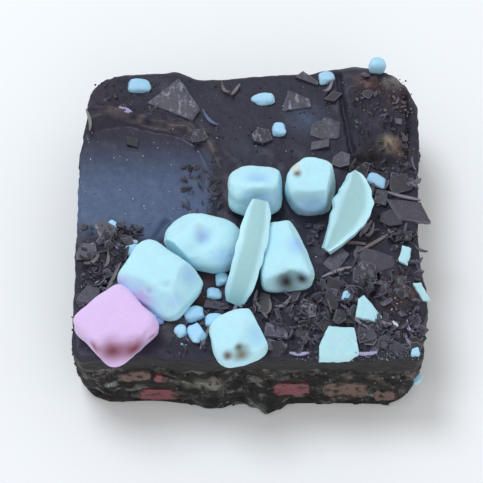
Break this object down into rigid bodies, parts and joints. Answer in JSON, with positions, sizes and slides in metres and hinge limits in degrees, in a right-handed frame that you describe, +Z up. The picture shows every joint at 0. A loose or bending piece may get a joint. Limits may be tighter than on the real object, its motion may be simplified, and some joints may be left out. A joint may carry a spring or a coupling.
{
  "type": "rocky road",
  "caption": "Thick square of dark chocolate rocky road with cut sides that show jelly and biscuit, topped with marshmallows and shards of white and dark chocolate.",
  "frame": {"origin": "middle of the flat underside", "axes": "+Z up, +Y from the front cut face to the back, +X to the right seen from the front"},
  "size_m": [0.0844, 0.0855, 0.0336],
  "materials": {
    "rocky_mix": "rough broken chocolate with crumbs",
    "dark_chocolate": "dark chocolate, glossy where it was poured and dusty where it is strewn with flakes",
    "marshmallow": "soft matt, lightly dusted",
    "marshmallow_pink": "soft matt, lightly dusted",
    "white_chocolate": "satin with soft edges",
    "dark_shard": "satin, with pale bloom on the broken edges",
    "jelly": "cut jelly sweet, slightly glossy",
    "biscuit": "cut biscuit, dry and crumbly"
  },
  "bodies": {
    "root": {"rocky_layer": "rocky_mix", "chocolate_top": "dark_chocolate", "marshmallow_1": "marshmallow", "marshmallow_2": "marshmallow", "marshmallow_3": "marshmallow", "marshmallow_4": "marshmallow", "marshmallow_5": "marshmallow", "marshmallow_6": "marshmallow", "marshmallow_pink": "marshmallow_pink", "white_chocolate_1": "white_chocolate", "white_chocolate_2": "white_chocolate", "white_chocolate_3": "white_chocolate", "white_chocolate_4": "white_chocolate", "white_chocolate_5": "white_chocolate", "white_chocolate_6": "white_chocolate", "dark_shard_1": "dark_shard", "dark_shard_2": "dark_shard", "dark_shard_3": "dark_shard", "dark_shard_4": "dark_shard", "dark_shard_5": "dark_shard", "dark_shard_6": "dark_shard", "dark_shard_7": "dark_shard", "jelly_1": "jelly", "jelly_2": "jelly", "jelly_3": "jelly", "jelly_4": "jelly", "jelly_5": "jelly", "jelly_6": "jelly", "biscuit_1": "biscuit", "biscuit_2": "biscuit", "biscuit_3": "biscuit", "biscuit_4": "biscuit", "biscuit_5": "biscuit", "biscuit_6": "biscuit"}
  },
  "joints": []
}
